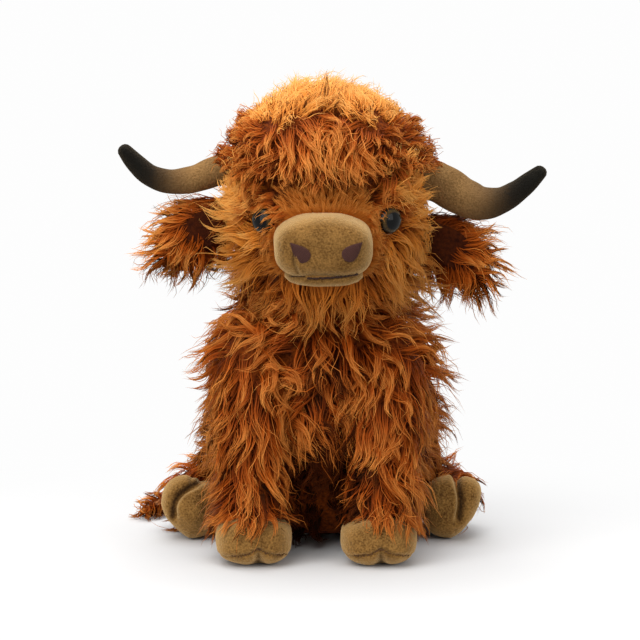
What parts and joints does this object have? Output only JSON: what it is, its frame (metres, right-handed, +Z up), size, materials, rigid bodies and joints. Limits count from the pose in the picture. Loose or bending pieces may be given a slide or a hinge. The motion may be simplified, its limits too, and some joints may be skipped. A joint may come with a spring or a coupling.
{
  "type": "seated plush cow",
  "caption": "Seated stuffed-toy cow in long shaggy fur, with curved horns, drooping ears, a rounded velour muzzle, stuffed limbs that swing and velour hooves.",
  "frame": {"origin": "on the floor plane, on the flat of the seat, midway between the hips in X and under the front of the neck in Y", "axes": "+Z up along the seated height, -Y out of the face, +X towards the cow's own left"},
  "size_m": [0.2666, 0.2144, 0.2935],
  "materials": {
    "fur": "long shaggy wavy faux fur, orange-brown with golden tips",
    "forelock_fur": "long lighter faux fur with loose wisps",
    "short_pile": "short dense pile",
    "velour": "tan velour",
    "horn_velour": "tan velour airbrushed to near black at the tips",
    "nostril_thread": "dense satin stitch, dark maroon-brown",
    "mouth_thread": "embroidery thread, dark brown",
    "eye_plastic": "polished, brown iris round a black pupil",
    "washer_plastic": "moulded white",
    "filling": "loose polyester fibre",
    "pellets": "woven bag of small plastic pellets",
    "ear_lining": "short dark brown pile"
  },
  "bodies": {
    "torso": {"body_skin": "fur", "body_stuffing": "filling", "seat_pellet_bag": "pellets"},
    "neck": {"neck_stuffing": "filling"},
    "head": {"head_skin": "fur", "head_stuffing": "filling", "forelock": "forelock_fur", "nose_bridge": "short_pile", "muzzle": "velour", "lower_lip": "velour", "nostril_left": "nostril_thread", "nostril_right": "nostril_thread", "mouth_stitching": "mouth_thread", "eye_left": "eye_plastic", "eye_right": "eye_plastic", "eye_washer_left": "washer_plastic", "eye_washer_right": "washer_plastic"},
    "horn_left": {"horn_left": "horn_velour"},
    "horn_right": {"horn_right": "horn_velour"},
    "ear_left": {"ear_left": "fur", "ear_lining_left": "ear_lining"},
    "ear_right": {"ear_right": "fur", "ear_lining_right": "ear_lining"},
    "foreleg_left": {"foreleg_skin_left": "fur", "foreleg_stuffing_left": "filling", "front_hoof_left": "velour"},
    "hind_leg_left": {"hind_leg_skin_left": "fur", "hind_leg_stuffing_left": "filling", "hind_hoof_left": "velour"},
    "foreleg_right": {"foreleg_skin_right": "fur", "foreleg_stuffing_right": "filling", "front_hoof_right": "velour"},
    "hind_leg_right": {"hind_leg_skin_right": "fur", "hind_leg_stuffing_right": "filling", "hind_hoof_right": "velour"},
    "tail": {"tail": "fur", "tail_tuft": "forelock_fur"}
  },
  "joints": [
    {"name": "head_turn", "type": "hinge", "parent": "torso", "child": "neck", "pos_m": [0, -0.004, 0.166], "axis": [0, 0, 1], "range_deg": [-25, 25], "stiffness_Nm_per_rad": 1.5},
    {"name": "head_nod", "type": "hinge", "parent": "neck", "child": "head", "pos_m": [0, -0.004, 0.166], "axis": [1, 0, 0], "range_deg": [-10, 10], "stiffness_Nm_per_rad": 1.5},
    {"name": "horn_left_tilt", "type": "hinge", "parent": "head", "child": "horn_left", "pos_m": [0.062, -0.01, 0.2345], "axis": [0, 1, 0], "range_deg": [-5, 5], "stiffness_Nm_per_rad": 0.3},
    {"name": "horn_right_tilt", "type": "hinge", "parent": "head", "child": "horn_right", "pos_m": [-0.044, -0.01, 0.2425], "axis": [0, 1, 0], "range_deg": [-5, 5], "stiffness_Nm_per_rad": 0.3},
    {"name": "ear_left_flap", "type": "hinge", "parent": "head", "child": "ear_left", "pos_m": [0.062, -0.008, 0.205], "axis": [0.6691, 0, 0.7431], "range_deg": [-20, 20], "stiffness_Nm_per_rad": 0.1},
    {"name": "ear_right_flap", "type": "hinge", "parent": "head", "child": "ear_right", "pos_m": [-0.0535, -0.008, 0.2135], "axis": [-0.5736, 0, 0.8192], "range_deg": [-20, 20], "stiffness_Nm_per_rad": 0.1},
    {"name": "foreleg_left_swing", "type": "hinge", "parent": "torso", "child": "foreleg_left", "pos_m": [0.0425, -0.027, 0.122], "axis": [-1, 0, 0], "range_deg": [0, 45]},
    {"name": "foreleg_right_swing", "type": "hinge", "parent": "torso", "child": "foreleg_right", "pos_m": [-0.0425, -0.027, 0.122], "axis": [-1, 0, 0], "range_deg": [0, 45]},
    {"name": "hind_leg_left_spread", "type": "hinge", "parent": "torso", "child": "hind_leg_left", "pos_m": [0.054, 0.046, 0.0315], "axis": [0, 0, 1], "range_deg": [0, 30]},
    {"name": "hind_leg_right_spread", "type": "hinge", "parent": "torso", "child": "hind_leg_right", "pos_m": [-0.054, 0.046, 0.0315], "axis": [0, 0, -1], "range_deg": [0, 30]},
    {"name": "tail_swing", "type": "hinge", "parent": "torso", "child": "tail", "pos_m": [0, 0.07974, 0.036], "axis": [0, 0, -1], "range_deg": [0, 70]}
  ]
}
